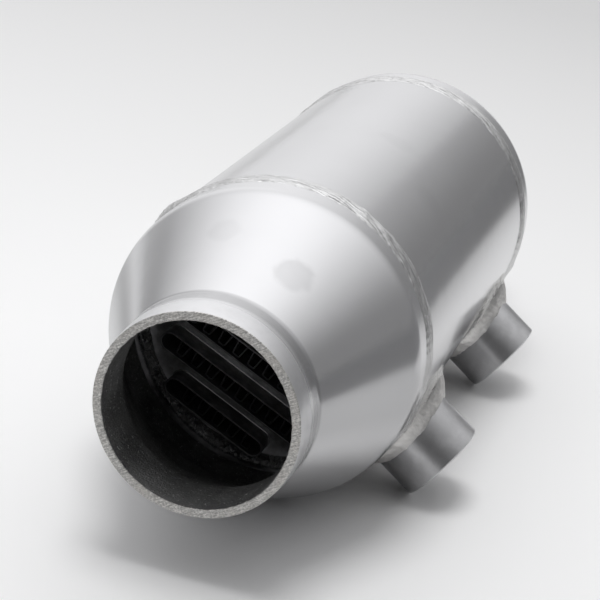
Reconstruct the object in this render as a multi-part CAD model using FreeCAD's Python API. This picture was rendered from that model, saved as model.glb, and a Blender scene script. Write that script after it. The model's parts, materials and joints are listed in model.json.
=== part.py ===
"""Barrel water-to-air charge cooler, as it lies on a table. All sizes are in millimetres.

The barrel's axis runs along +Y, and +Z is up. The origin is the centre of the front hose neck's mouth.
"""
import FreeCAD, Part
import math
import os

# Barrel shell
shell_outer_r = 50.8
shell_wall = 3.2
shell_length = 157.0
shell_inner_r = shell_outer_r - shell_wall

# Spun end tank with its hose neck, the same piece at both ends
tank_wall = 3.2
neck_outer_r = 31.75
neck_straight_length = 15.5
neck_lip_round = 0.4
throat_round_r = 5.0
shoulder_round_r = 14.0
cone_angle_deg = 23.5
tank_band_length = 10.2

# Outer seam weld between a tank and the shell
seam_groove_leg = 1.5
seam_bead_width = 8.4
seam_bead_height = 1.05

# Flat charge-air tubes, stacked evenly either side of the middle one and cut from strip in stock widths
tubes_each_side = 3
outer_tube_width = 38.8
tube_width_step = 19.4
tube_thickness = 6.8
tube_wall = 0.6
tube_setback = 0.5
core_edge_gap = 0.8

# Corrugated fin in each tube
fin_sheet = 0.2
fin_wall_pitch = 3.0
fin_crest_flat = 1.1
fin_setback = 1.5

# Header plates and the bead that holds each one in the shell
header_thickness = 3.0
header_fit_gap = 0.1
header_setback = 7.8
tube_slot_gap = 0.05
header_weld_leg = 2.8
header_weld_bulge = 0.5

# Water bungs with a parallel pipe thread, cut to the thread's inner radius
bung_outer_r = 15.1
bung_reach = 18.9
bung_seam_gap = 0.7
bung_thread_r = 9.3
bung_thread_depth = 15.0
bung_mouth_chamfer = 1.2
bung_rim_chamfer = 0.5
water_port_r = 8.5
bung_weld_shell_leg = 6.0
bung_weld_bung_leg = 6.5

# How far the core is turned from the line of the bungs
core_turn_deg = 10.0

# Sizes that follow from the ones above
cone_angle = math.radians(cone_angle_deg)
neck_inner_r = neck_outer_r - tank_wall
throat_end_r = neck_outer_r + throat_round_r * (1.0 - math.cos(cone_angle))
shoulder_start_r = shell_outer_r - shoulder_round_r * (1.0 - math.cos(cone_angle))
cone_run = (shoulder_start_r - throat_end_r) / math.tan(cone_angle)
throat_run = throat_round_r * math.sin(cone_angle)
shoulder_run = shoulder_round_r * math.sin(cone_angle)
shoulder_end_y = neck_straight_length + throat_run + cone_run + shoulder_run
tank_length = shoulder_end_y + tank_band_length
overall_length = 2.0 * tank_length + shell_length
seam_crest_r = shell_outer_r + seam_bead_height
header_face_y = tank_length + header_setback
bung_tip = shell_outer_r + bung_reach
bung_end_distance = seam_bead_width / 2.0 + bung_seam_gap + bung_weld_shell_leg + bung_outer_r
tube_end_r = tube_thickness / 2.0
tube_end_limit_r = shell_inner_r - header_weld_leg - core_edge_gap - tube_end_r
stack_half = math.sqrt(tube_end_limit_r ** 2 - (outer_tube_width / 2.0 - tube_end_r) ** 2)
tube_pitch = stack_half / tubes_each_side


def resting_angle():
    """Angle of the bungs below level at which both seam beads and both bung rims rest on one floor."""
    rim_along = bung_tip - bung_rim_chamfer
    rim_span = math.hypot(rim_along, bung_outer_r)
    lean = min(1.0, seam_crest_r / rim_span)
    return math.degrees(math.asin(lean) - math.atan2(bung_outer_r, rim_along))


bung_angle_deg = resting_angle()
core_angle_deg = bung_angle_deg - core_turn_deg

# Directions and helpers
ORIGIN = FreeCAD.Vector(0, 0, 0)
ACROSS = FreeCAD.Vector(1, 0, 0)
ALONG = FreeCAD.Vector(0, 1, 0)
FULL_TURN = 360.0
SAME_PLACE = 0.01


def at(y, r):
    """A point of a section in the plane that holds the barrel's axis."""
    return FreeCAD.Vector(r, y, 0)


def line(p, q):
    return Part.makeLine(p, q)


def arc(p, middle, q):
    return Part.Arc(p, middle, q).toShape()


def arc_point(centre_y, centre_r, radius, angle):
    """A point on a round, with the angle taken from the outward radial direction towards +Y."""
    return at(centre_y + radius * math.sin(angle), centre_r + radius * math.cos(angle))


def turned(edges):
    """A solid of revolution about the barrel's axis from a closed ring of section edges."""
    face = Part.Face(Part.Wire(edges))
    return face.revolve(ORIGIN, ALONG, FULL_TURN)


def mirrored_to_rear(shape):
    """The same piece at the rear end, turned round about the middle of the barrel."""
    middle = FreeCAD.Vector(0, overall_length / 2.0, 0)
    return shape.mirror(middle, ALONG)


def tilted(shape, angle_deg):
    """Turn a shape about the barrel's axis so that its +X side dips below level by the angle."""
    shape.rotate(ORIGIN, ALONG, angle_deg)
    return shape


# End tanks

def tank_wall_line(inset):
    """The tank's side seen in section, moved inwards by the inset, from the neck to the shell."""
    neck_r = neck_outer_r - inset
    band_r = shell_outer_r - inset
    throat_r = throat_round_r + inset
    shoulder_r = shoulder_round_r - inset
    throat_centre_r = neck_outer_r + throat_round_r
    shoulder_centre_r = shell_outer_r - shoulder_round_r
    half = cone_angle / 2.0
    neck_end = at(neck_straight_length, neck_r)
    throat_mid = arc_point(neck_straight_length, throat_centre_r, throat_r, math.pi - half)
    throat_end = arc_point(neck_straight_length, throat_centre_r, throat_r, math.pi - cone_angle)
    shoulder_start = arc_point(shoulder_end_y, shoulder_centre_r, shoulder_r, -cone_angle)
    shoulder_mid = arc_point(shoulder_end_y, shoulder_centre_r, shoulder_r, -half)
    shoulder_end = at(shoulder_end_y, band_r)
    edges = [arc(neck_end, throat_mid, throat_end)]
    edges.append(line(throat_end, shoulder_start))
    edges.append(arc(shoulder_start, shoulder_mid, shoulder_end))
    return edges


def end_tank():
    lip_slope = neck_lip_round * (1.0 - math.cos(math.pi / 4.0))
    lip_start = at(0, neck_outer_r - neck_lip_round)
    lip_mid = at(lip_slope, neck_outer_r - lip_slope)
    lip_end = at(neck_lip_round, neck_outer_r)
    band_end = at(tank_length - seam_groove_leg, shell_outer_r)
    groove_end = at(tank_length, shell_outer_r - seam_groove_leg)
    band_inner_r = shell_outer_r - tank_wall
    edges = [arc(lip_start, lip_mid, lip_end)]
    edges.append(line(lip_end, at(neck_straight_length, neck_outer_r)))
    edges.extend(tank_wall_line(0.0))
    edges.append(line(at(shoulder_end_y, shell_outer_r), band_end))
    edges.append(line(band_end, groove_end))
    edges.append(line(groove_end, at(tank_length, band_inner_r)))
    edges.append(line(at(tank_length, band_inner_r), at(shoulder_end_y, band_inner_r)))
    edges.extend(reversed(tank_wall_line(tank_wall)))
    edges.append(line(at(neck_straight_length, neck_inner_r), at(0, neck_inner_r)))
    edges.append(line(at(0, neck_inner_r), lip_start))
    return turned(edges)


# Barrel shell and water bungs

def bung_placed(shape, y):
    """Place a shape made along +X so that it stands on the shell at the bung's angle."""
    tilted(shape, bung_angle_deg)
    shape.translate(FreeCAD.Vector(0, y, 0))
    return shape


def bung_places():
    front = tank_length + bung_end_distance
    return (("front", front), ("rear", overall_length - front))


def barrel_shell():
    start_y = tank_length
    end_y = tank_length + shell_length
    groove_r = shell_outer_r - seam_groove_leg
    corners = [at(start_y, shell_inner_r), at(start_y, groove_r)]
    corners.append(at(start_y + seam_groove_leg, shell_outer_r))
    corners.append(at(end_y - seam_groove_leg, shell_outer_r))
    corners.append(at(end_y, groove_r))
    corners.append(at(end_y, shell_inner_r))
    corners.append(corners[0])
    shell = Part.Face(Part.makePolygon(corners)).revolve(ORIGIN, ALONG, FULL_TURN)
    for _, y in bung_places():
        port = Part.makeCylinder(water_port_r, bung_tip, ORIGIN, ACROSS)
        shell = shell.cut(bung_placed(port, y))
    return shell


def bung_rod():
    """The bung before it is bored, from inside the shell's wall to its rim."""
    root = shell_inner_r
    return Part.makeCylinder(bung_outer_r, bung_tip - root, FreeCAD.Vector(root, 0, 0), ACROSS)


def shell_bar():
    """A solid bar the size of the shell's outside, round the place where a bung stands."""
    reach = 2.0 * (bung_outer_r + bung_weld_shell_leg)
    return Part.makeCylinder(shell_outer_r, 2.0 * reach, FreeCAD.Vector(0, -reach, 0), ALONG)


def water_bung(y):
    rod = bung_rod()
    rim = [edge for edge in rod.Edges if edge.BoundBox.XMin > bung_tip - bung_rim_chamfer]
    rod = rod.makeChamfer(bung_rim_chamfer, rim)
    thread_floor = FreeCAD.Vector(bung_tip - bung_thread_depth, 0, 0)
    thread = Part.makeCylinder(bung_thread_r, bung_thread_depth, thread_floor, ACROSS)
    mouth_start = FreeCAD.Vector(bung_tip - bung_mouth_chamfer, 0, 0)
    mouth_r = bung_thread_r + bung_mouth_chamfer
    mouth = Part.makeCone(bung_thread_r, mouth_r, bung_mouth_chamfer, mouth_start, ACROSS)
    port = Part.makeCylinder(water_port_r, bung_tip, ORIGIN, ACROSS)
    body = rod.cut(shell_bar()).cut(thread).cut(mouth).cut(port)
    return bung_placed(body, y)


def is_foot_edge(edge):
    """True for the saddle-shaped edge where the bung's side meets the shell's outside."""
    p = edge.valueAt((edge.FirstParameter + edge.LastParameter) / 2.0)
    on_shell = abs(math.hypot(p.x, p.z) - shell_outer_r) < SAME_PLACE
    on_bung = abs(math.hypot(p.y, p.z) - bung_outer_r) < SAME_PLACE
    return on_shell and on_bung


def bung_weld(y):
    """A fillet bead that follows the joint between the round bung and the round shell."""
    rod = bung_rod()
    bar = shell_bar()
    joined = bar.fuse(rod)
    foot = [edge for edge in joined.Edges if is_foot_edge(edge)]
    bead = joined.makeChamfer(bung_weld_shell_leg, bung_weld_bung_leg, foot)
    return bung_placed(bead.cut(bar).cut(rod), y)


# Outer seam welds

def seam_weld():
    half = seam_bead_width / 2.0
    left = at(tank_length - half, shell_outer_r)
    right = at(tank_length + half, shell_outer_r)
    crest = at(tank_length, seam_crest_r)
    groove_left = at(tank_length - seam_groove_leg, shell_outer_r)
    groove_right = at(tank_length + seam_groove_leg, shell_outer_r)
    root = at(tank_length, shell_outer_r - seam_groove_leg)
    edges = [arc(left, crest, right), line(right, groove_right), line(groove_right, root)]
    edges.extend([line(root, groove_left), line(groove_left, left)])
    return turned(edges)


# Core

def tube_steps():
    """The steps from the middle tube at which the tubes stand, from one side to the other."""
    return range(-tubes_each_side, tubes_each_side + 1)


def tube_width(step):
    """The widest stock width whose round ends stay clear of the header weld at that step."""
    room = 2.0 * math.sqrt(tube_end_limit_r ** 2 - (step * tube_pitch) ** 2) + tube_thickness
    spare_steps = math.floor((room + SAME_PLACE - outer_tube_width) / tube_width_step)
    return outer_tube_width + spare_steps * tube_width_step


def flat_bar(width, thickness, y_start, length, step):
    """A round-ended flat bar along the barrel, standing the given number of steps from its axis."""
    r = thickness / 2.0
    side = width / 2.0 - r
    z = step * tube_pitch
    corners = [(-side, z - r), (side, z - r), (side, z + r), (-side, z + r)]
    p = [FreeCAD.Vector(x, y_start, up) for x, up in corners]
    right_tip = FreeCAD.Vector(side + r, y_start, z)
    left_tip = FreeCAD.Vector(-side - r, y_start, z)
    edges = [line(p[0], p[1]), arc(p[1], right_tip, p[2])]
    edges.extend([line(p[2], p[3]), arc(p[3], left_tip, p[0])])
    bar = Part.Face(Part.Wire(edges)).extrude(FreeCAD.Vector(0, length, 0))
    return tilted(bar, core_angle_deg)


def air_tube(step):
    width = tube_width(step)
    y_start = tank_length + tube_setback
    length = overall_length - 2.0 * y_start
    outer = flat_bar(width, tube_thickness, y_start, length, step)
    inner = flat_bar(width - 2.0 * tube_wall, tube_thickness - 2.0 * tube_wall, y_start, length, step)
    return outer.cut(inner)


def shifted_line(points, distance):
    """A bent line moved sideways by a distance, with its corners kept sharp."""
    directions = []
    for a, b in zip(points, points[1:]):
        span = math.hypot(b[0] - a[0], b[1] - a[1])
        directions.append(((b[0] - a[0]) / span, (b[1] - a[1]) / span))
    directions = [directions[0]] + directions + [directions[-1]]
    moved = []
    for point, before, after in zip(points, directions, directions[1:]):
        scale = distance / (1.0 + before[0] * after[0] + before[1] * after[1])
        moved.append((point[0] - scale * (before[1] + after[1]), point[1] + scale * (before[0] + after[0])))
    return moved


def air_fin(step):
    """A corrugated sheet whose flat crests lie on the tube's two inner faces."""
    width = tube_width(step)
    flat_width = width - tube_thickness
    walls = int((flat_width - fin_crest_flat) / fin_wall_pitch)
    crest = (tube_thickness / 2.0 - tube_wall) - fin_sheet / 2.0
    slope = fin_wall_pitch - fin_crest_flat
    middle = []
    x = -0.5 * (walls * fin_wall_pitch + fin_crest_flat)
    side = 1.0
    for _ in range(walls + 1):
        middle.append((x, side * crest))
        middle.append((x + fin_crest_flat, side * crest))
        x += fin_crest_flat + slope
        side = -side
    outline = shifted_line(middle, fin_sheet / 2.0) + shifted_line(middle, -fin_sheet / 2.0)[::-1]
    y_start = tank_length + tube_setback + fin_setback
    z = step * tube_pitch
    corners = [FreeCAD.Vector(px, y_start, z + pz) for px, pz in outline]
    sheet = Part.Face(Part.makePolygon(corners + [corners[0]]))
    fin = sheet.extrude(FreeCAD.Vector(0, overall_length - 2.0 * y_start, 0))
    return tilted(fin, core_angle_deg)


def header_plate():
    start = FreeCAD.Vector(0, header_face_y, 0)
    plate = Part.makeCylinder(shell_inner_r - header_fit_gap, header_thickness, start, ALONG)
    for step in tube_steps():
        slot_width = tube_width(step) + 2.0 * tube_slot_gap
        slot_height = tube_thickness + 2.0 * tube_slot_gap
        plate = plate.cut(flat_bar(slot_width, slot_height, header_face_y, header_thickness, step))
    return plate


def header_weld():
    corner = at(header_face_y, shell_inner_r)
    on_shell = at(header_face_y - header_weld_leg, shell_inner_r)
    on_plate = at(header_face_y, shell_inner_r - header_weld_leg)
    reach = header_weld_leg / 2.0 + header_weld_bulge * math.cos(math.pi / 4.0)
    crown = at(header_face_y - reach, shell_inner_r - reach)
    return turned([line(corner, on_shell), arc(on_shell, crown, on_plate), line(on_plate, corner)])


# All pieces by name

def pieces():
    named = {"barrel_shell": barrel_shell()}
    for name, make in (("end_tank", end_tank), ("header_plate", header_plate), ("header_weld", header_weld),
                       ("seam_weld", seam_weld)):
        named["front_" + name] = make()
        named["rear_" + name] = mirrored_to_rear(make())
    for end, y in bung_places():
        named[end + "_water_bung"] = water_bung(y)
        named[end + "_bung_weld"] = bung_weld(y)
    for number, step in enumerate(tube_steps(), 1):
        named["air_tube_%d" % number] = air_tube(step)
        named["air_fin_%d" % number] = air_fin(step)
    return named


os.makedirs("parts", exist_ok=True)
for name, shape in pieces().items():
    shape.exportStep(os.path.join("parts", name + ".step"))
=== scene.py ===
"""Barrel water-to-air charge cooler: spun end tanks, welded jacket, flat-tube core and threaded bungs.

Every piece is built in metres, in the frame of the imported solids. The barrel's axis runs along +Y and +Z is up.
"""

import bisect
import json
import math
import random

import bmesh
import bpy
from mathutils import Matrix, Vector, noise


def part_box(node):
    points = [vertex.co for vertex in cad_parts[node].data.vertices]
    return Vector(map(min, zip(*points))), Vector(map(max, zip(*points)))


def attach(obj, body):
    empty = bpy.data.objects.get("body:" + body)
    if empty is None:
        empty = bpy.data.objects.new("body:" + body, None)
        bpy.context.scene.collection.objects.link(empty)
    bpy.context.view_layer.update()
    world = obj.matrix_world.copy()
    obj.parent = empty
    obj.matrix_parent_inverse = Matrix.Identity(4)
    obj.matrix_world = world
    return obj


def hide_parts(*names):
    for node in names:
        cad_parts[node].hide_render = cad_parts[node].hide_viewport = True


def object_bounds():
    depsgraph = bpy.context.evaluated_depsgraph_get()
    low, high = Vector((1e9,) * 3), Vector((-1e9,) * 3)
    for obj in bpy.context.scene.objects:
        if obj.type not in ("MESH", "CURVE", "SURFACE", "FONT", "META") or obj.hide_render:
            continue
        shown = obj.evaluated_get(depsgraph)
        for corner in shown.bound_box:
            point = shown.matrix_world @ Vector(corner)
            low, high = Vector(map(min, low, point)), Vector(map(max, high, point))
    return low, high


bl_info = {
    "name": "Barrel Charge Cooler",
    "version": (1, 0, 0),
    "blender": (4, 5, 0),
    "location": "3D View > Sidebar > Cooler",
    "description": "Builds a barrel water-to-air charge cooler and the studio stage it stands on",
    "category": "Add Mesh",
}

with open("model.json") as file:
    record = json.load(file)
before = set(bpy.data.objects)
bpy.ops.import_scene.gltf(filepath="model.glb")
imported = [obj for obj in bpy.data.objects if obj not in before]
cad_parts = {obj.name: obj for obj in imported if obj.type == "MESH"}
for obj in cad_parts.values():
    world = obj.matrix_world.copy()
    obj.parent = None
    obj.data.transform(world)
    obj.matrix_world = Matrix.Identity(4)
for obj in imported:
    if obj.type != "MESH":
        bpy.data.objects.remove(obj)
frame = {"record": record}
solids_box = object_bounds()

MM = 0.001
FULL_TURN = 2.0 * math.pi
QUARTER_TURN = math.pi / 2.0
ENDS = ("front", "rear")
TUBE_NUMBERS = range(1, 8)
MIDDLE_TUBE = 4
SLOT_CLEARANCE = 0.05 * MM
SINK = 0.04 * MM  # how far the edge of a bead dips into the metal that it lies on

shell_low, shell_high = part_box("barrel_shell")
header_low, header_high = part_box("front_header_plate")
front_bung_low, front_bung_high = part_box("front_water_bung")
rear_bung_low, rear_bung_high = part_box("rear_water_bung")
mounts = {mount["name"]: mount for mount in frame["record"]["mounts"]}

OVERALL_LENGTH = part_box("rear_end_tank")[1].y
TANK_LENGTH = shell_low.y
SHELL_R = round(shell_high.z, 4)
CREST_R = -solids_box[0].z
BUNG_R = round((front_bung_high.y - front_bung_low.y) / 2.0, 5)
BUNG_Y = {"front": (front_bung_low.y + front_bung_high.y) / 2.0, "rear": (rear_bung_low.y + rear_bung_high.y) / 2.0}
OUTWARD = Vector(mounts["front_water_port"]["axis"]).normalized()
ALONG = Vector((0.0, 1.0, 0.0))
SIDEWAYS = OUTWARD.cross(ALONG)


# Sizes and colours that a user may change

def length(name, text, millimetres):
    return bpy.props.FloatProperty(name=name, description=text, default=millimetres * MM, min=0.0, precision=5,
                                   subtype="DISTANCE", unit="LENGTH")


def angle(name, text, degrees):
    return bpy.props.FloatProperty(name=name, description=text, default=math.radians(degrees), subtype="ANGLE",
                                   unit="ROTATION")


def tint(name, text, default):
    return bpy.props.FloatVectorProperty(name=name, description=text, default=default, size=3, min=0.0, max=1.0,
                                         subtype="COLOR")


def share(name, text, default):
    return bpy.props.FloatProperty(name=name, description=text, default=default, min=0.0, max=1.0, subtype="FACTOR")


class CoolerSizes(bpy.types.PropertyGroup):
    """Sizes of the cooler's pieces"""

    wall: length("Wall", "Wall of the barrel shell and of the end tanks", 3.2)
    neck_radius: length("Neck radius", "Outside radius of the hose necks", 31.75)
    neck_straight: length("Neck straight", "Straight part of a hose neck", 15.5)
    neck_dressed: length("Dressed length", "End of a hose neck that is dressed bright with emery", 9.0)
    neck_taper: length("Dressed taper", "How far the dressing has taken the neck down at its mouth", 0.5)
    lip_round: length("Lip round", "Round on the outside of a neck's sawn end", 0.4)
    throat_round: length("Throat round", "Round between the hose neck and the cone", 5.0)
    shoulder_round: length("Shoulder round", "Round between the cone and the straight band", 14.0)
    cone_angle: angle("Cone angle", "Slope of the spun cone to the barrel's axis", 23.5)
    groove_leg: length("Groove leg", "Leg of the weld groove between a tank and the shell", 1.5)
    seam_width: length("Seam width", "Width of the outer seam beads", 8.4)
    seam_ripple: length("Seam ripple", "Distance between two ripples of a seam bead", 3.4)
    bung_reach: length("Bung reach", "How far a water bung stands out from the shell", 18.9)
    bung_shell_leg: length("Weld leg on the shell", "Leg of a bung's weld on the shell, with its thin toe", 7.8)
    bung_side_leg: length("Weld leg on the bung", "Leg of a bung's weld on the bung's side", 6.5)
    thread_outer: length("Thread outer radius", "Outer radius of the pipe thread", 10.48)
    thread_inner: length("Thread inner radius", "Inner radius of the pipe thread", 9.3)
    thread_pitch: length("Thread pitch", "Distance between two turns of the thread", 1.814)
    thread_depth: length("Thread depth", "Depth of the threaded bore", 15.0)
    port_radius: length("Port radius", "Radius of the water port behind the thread", 8.5)
    header_weld_leg: length("Header weld leg", "Leg of the bead that holds a header plate", 2.8)
    tube_thickness: length("Tube thickness", "Outside height of a flat charge-air tube", 6.8)
    tube_wall: length("Tube wall", "Wall of a flat charge-air tube", 0.6)
    tube_pitch: length("Tube pitch", "Distance between two flat tubes", 12.4392)
    fin_pitch: length("Fin pitch", "Distance between two walls of the corrugated fin", 3.0)
    fin_sheet: length("Fin sheet", "Thickness of the fin's sheet", 0.55)
    fin_crest: length("Fin crest", "Flat top of a fold of the corrugated fin", 2.1)
    core_angle: angle("Core angle", "How far the core is turned about the barrel's axis", 24.749234)


class CoolerFinishes(bpy.types.PropertyGroup):
    """Colours of the cooler's finishes"""

    satin: tint("Spun aluminium", "Polished satin skin of the spun end tanks", (0.75, 0.75, 0.76))
    rolled: tint("Rolled aluminium", "Polished satin skin of the rolled shell", (0.69, 0.69, 0.70))
    sawn: tint("Sawn aluminium", "Sawn end of the hose necks", (0.70, 0.69, 0.67))
    dressed: tint("Dressed aluminium", "Ends of the hose necks, dressed bright with emery", (0.83, 0.83, 0.84))
    bore: tint("Tank bore", "Dull inside of the end tanks", (0.40, 0.40, 0.40))
    bead: tint("Weld bead", "Bright weld metal", (0.80, 0.80, 0.80))
    fillet: tint("Bung weld", "Smooth dull weld metal at the foot of the water bungs", (0.70, 0.69, 0.675))
    bung: tint("Turned bung", "Turned side of the water bungs", (0.63, 0.63, 0.64))
    core: tint("Brazed core", "Header plates and flat tubes", (0.64, 0.64, 0.65))
    # painted shade: the fins' colour is kept dark for the shade inside the tubes
    fin: tint("Brazed fin", "Corrugated fins", (0.28, 0.28, 0.285))
    floor: tint("Floor", "Pale floor", (0.98, 0.98, 0.98))
    gloss: share("Tank roughness", "Roughness of the tanks' satin skin", 0.19)
    shell_gloss: share("Shell roughness", "Roughness of the shell's satin skin", 0.15)


# Shader maths

class Wire:
    """A value socket in a node tree, with the operators that add Math nodes to it."""

    def __init__(self, finish, socket):
        self.finish = finish
        self.socket = socket

    def math(self, operation, *others):
        return self.finish.math(operation, self, *others)

    def __add__(self, other):
        return self.math("ADD", other)

    __radd__ = __add__

    def __sub__(self, other):
        return self.math("SUBTRACT", other)

    def __rsub__(self, other):
        return self.finish.math("SUBTRACT", other, self)

    def __mul__(self, other):
        return self.math("MULTIPLY", other)

    __rmul__ = __mul__

    def __truediv__(self, other):
        return self.math("DIVIDE", other)

    def clamped(self):
        """The same value, held between 0 and 1."""
        return self.finish.math("ADD", self, 0.0, clamp=True)

    def between(self, low, high):
        """0 below the low value, 1 above the high one, and a soft step between."""
        return self.finish.add("ShaderNodeMapRange", {"interpolation_type": "SMOOTHSTEP"},
                               {"Value": self, "From Min": low, "From Max": high})


class Finish:
    """A node material under construction."""

    def __init__(self, name):
        self.material = bpy.data.materials.new(name)
        self.material.use_nodes = True
        self.tree = self.material.node_tree
        self.tree.nodes.clear()
        self.place = self.add("ShaderNodeTexCoord", output="Object")

    def add(self, kind, settings=None, sockets=None, output=0):
        """A node of this kind, with its settings made first and then its sockets' values or links."""
        node = self.tree.nodes.new(kind)
        for key, value in (settings or {}).items():
            setattr(node, key, value)
        for key, value in (sockets or {}).items():
            if isinstance(value, Wire):
                self.tree.links.new(value.socket, node.inputs[key])
            else:
                node.inputs[key].default_value = value
        return Wire(self, node.outputs[output]) if node.outputs else None

    def math(self, operation, *values, clamp=False):
        return self.add("ShaderNodeMath", {"operation": operation, "use_clamp": clamp}, dict(enumerate(values)))

    def vector(self, operation, *values, output=0):
        return self.add("ShaderNodeVectorMath", {"operation": operation}, dict(enumerate(values)), output)

    def axes(self, names):
        """The piece's own coordinates in metres along the named axes."""
        return [self.add("ShaderNodeSeparateXYZ", None, {"Vector": self.place}, output=axis) for axis in names]

    def point(self, x=0.0, y=0.0, z=0.0):
        return self.add("ShaderNodeCombineXYZ", None, {"X": x, "Y": y, "Z": z})

    def stretched(self, scale, turn=(0.0, 0.0, 0.0)):
        """The piece's own coordinates in metres, turned and then scaled along each axis."""
        turned = self.add("ShaderNodeMapping", {"vector_type": "POINT"}, {"Vector": self.place, "Rotation": turn})
        return self.vector("MULTIPLY", turned, scale)

    def grain(self, scale=1.0, detail=2.0, rough=0.5, distort=0.0, where=None):
        """Noise between 0 and 1, in the piece's own coordinates or at another place."""
        return self.add("ShaderNodeTexNoise", None, {"Vector": where or self.place, "Scale": scale,
                                                     "Detail": detail, "Roughness": rough, "Distortion": distort})

    def blend(self, amount, first, second):
        """A colour between two colours."""
        return self.add("ShaderNodeMix", {"data_type": "RGBA"}, {0: amount, 6: first, 7: second}, output=2)

    def shade(self, amount, colour, first, second):
        """A colour between two tones of one colour."""
        return self.blend(amount, paint(colour, first), paint(colour, second))

    def relief(self, height, distance, strength=1.0, under=None):
        """A bump of this height, laid over another one if given."""
        sockets = {"Height": height, "Distance": distance, "Strength": strength}
        if under:
            sockets["Normal"] = under
        return self.add("ShaderNodeBump", None, sockets)

    def close(self, colour, roughness, normal=None, metallic=1.0, specular=0.5):
        """Close the material with its surface."""
        sockets = {"Base Color": colour, "Roughness": roughness, "Metallic": metallic, "Specular IOR Level": specular}
        if normal:
            sockets["Normal"] = normal
        shader = self.add("ShaderNodeBsdfPrincipled", None, sockets)
        self.add("ShaderNodeOutputMaterial", None, {"Surface": shader})
        return self.material


def paint(colour, factor=1.0):
    """A colour property as four numbers, made lighter or darker by a factor."""
    return (colour[0] * factor, colour[1] * factor, colour[2] * factor, 1.0)


# Finishes

WHITE = (1.0, 1.0, 1.0, 1.0)
SAW_STAIN = (0.62, 0.58, 0.53)


def round_marks(finish, scale):
    """Fine marks that run round the barrel, as turning and polishing leave them."""
    return finish.grain(detail=3.0, rough=0.7, where=finish.stretched((18.0, scale, 18.0)))


def smudge(finish, centre, radius):
    """A soft worn spot on the skin, 1 at its middle and 0 outside."""
    reach = finish.vector("LENGTH", finish.vector("SUBTRACT", finish.place, centre), output=1)
    uneven = finish.grain(140.0, detail=3.0) - 0.5
    return 1.0 - (reach / radius + uneven * 0.9).between(0.55, 0.95)


def throat_band(finish, start, end):
    """1 in the throats of the end tanks, where the skin is made darker, and 0 elsewhere."""
    y, = finish.axes("Y")
    depth = y.math("MINIMUM", OVERALL_LENGTH - y)
    return depth.between(start, start + 2.0 * MM) * (1.0 - depth.between(end - 1.0 * MM, end))


def satin_finish(name, colour, gloss, spots, throat=None):
    """Polished satin aluminium with faint handling marks, worn spots and, on a tank, a darker throat."""
    finish = Finish(name)
    cloud = finish.grain(22.0, detail=4.0, rough=0.6)
    handling = finish.grain(75.0, detail=5.0, rough=0.65).between(0.52, 0.78)
    marks = round_marks(finish, 2600.0)
    slanted = finish.stretched((900.0, 40.0, 60.0), (0.3, 0.5, 0.9))
    scratches = finish.grain(detail=1.0, where=slanted).between(0.71, 0.78)
    worn = handling * 0.35
    base = finish.shade(worn * 0.5, colour, 1.0, 0.86)
    for centre, radius, weight in spots:
        mark = smudge(finish, centre, radius) * weight
        base = finish.blend(mark, base, paint(colour, 0.62))
        worn = worn + mark
    if throat:
        base = finish.blend(throat_band(finish, *throat), base, paint(colour, 0.72))
    base = finish.blend(cloud.between(0.35, 0.7) * 0.35, base, paint(colour, 1.06))
    roughness = (cloud - 0.5) * 0.05 + gloss + marks * 0.02 + worn.clamped() * 0.07 + scratches * 0.02
    ground = finish.relief(finish.grain(55.0), 0.22 * MM, 0.35)
    height = marks * 0.12 + scratches * -0.15
    return finish.close(base, roughness, finish.relief(height, 0.012 * MM, 0.5, ground))


def dressed_finish(name, colour):
    """Bright aluminium with close emery lines that run round the neck."""
    finish = Finish(name)
    lines = round_marks(finish, 2300.0)
    patches = finish.grain(240.0, detail=4.0, rough=0.6)
    base = finish.shade(patches.between(0.4, 0.72) * 0.4, colour, 1.0, 0.86)
    return finish.close(base, 0.26 + patches * 0.10, finish.relief(lines, 0.06 * MM, 0.8))


def sawn_finish(name, colour):
    """The sawn and roughly dressed end of a hose neck."""
    finish = Finish(name)
    slanted = finish.stretched((260.0, 260.0, 2600.0), (0.0, 0.55, 0.0))
    specks = finish.grain(1500.0, detail=3.0, rough=0.7)
    patches = finish.grain(120.0, detail=3.0)
    tone = finish.grain(detail=4.0, rough=0.75, where=slanted) * 0.55 + specks * 0.45
    base = finish.shade(tone.between(0.38, 0.64), colour, 0.52, 1.38)
    base = finish.blend(patches.between(0.4, 0.75) * 0.3, base, paint(SAW_STAIN))
    return finish.close(base, 0.42 + specks * 0.25, finish.relief(tone, 0.25 * MM, 0.8), metallic=0.85)


def bore_finish(name, colour):
    """The dull, pitted inside of an end tank, with small glints."""
    finish = Finish(name)
    pits = finish.grain(520.0, detail=5.0, rough=0.8)
    bloom = finish.grain(60.0, detail=4.0, rough=0.6)
    fine = finish.grain(1300.0, detail=3.0, rough=0.7)
    glints = (fine.between(0.56, 0.64) * pits.between(0.46, 0.60)).clamped()
    base = finish.shade(bloom.between(0.3, 0.75), colour, 0.5, 1.1)
    base = finish.blend(glints, base, WHITE)
    normal = finish.relief(fine, 0.6 * MM, under=finish.relief(pits, 0.9 * MM, 0.8))
    return finish.close(base, 0.50 - glints * 0.22, normal, metallic=0.7)


def feathers(finish):
    """Long slanting strokes that run round the barrel along a seam bead."""
    x, y, z = finish.axes("XYZ")
    around = x.math("ARCTAN2", z) * SHELL_R
    slanted = finish.point(around * 150.0, y * 1500.0 + around * 200.0)
    return finish.grain(detail=3.0, rough=0.55, distort=0.6, where=slanted)


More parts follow.
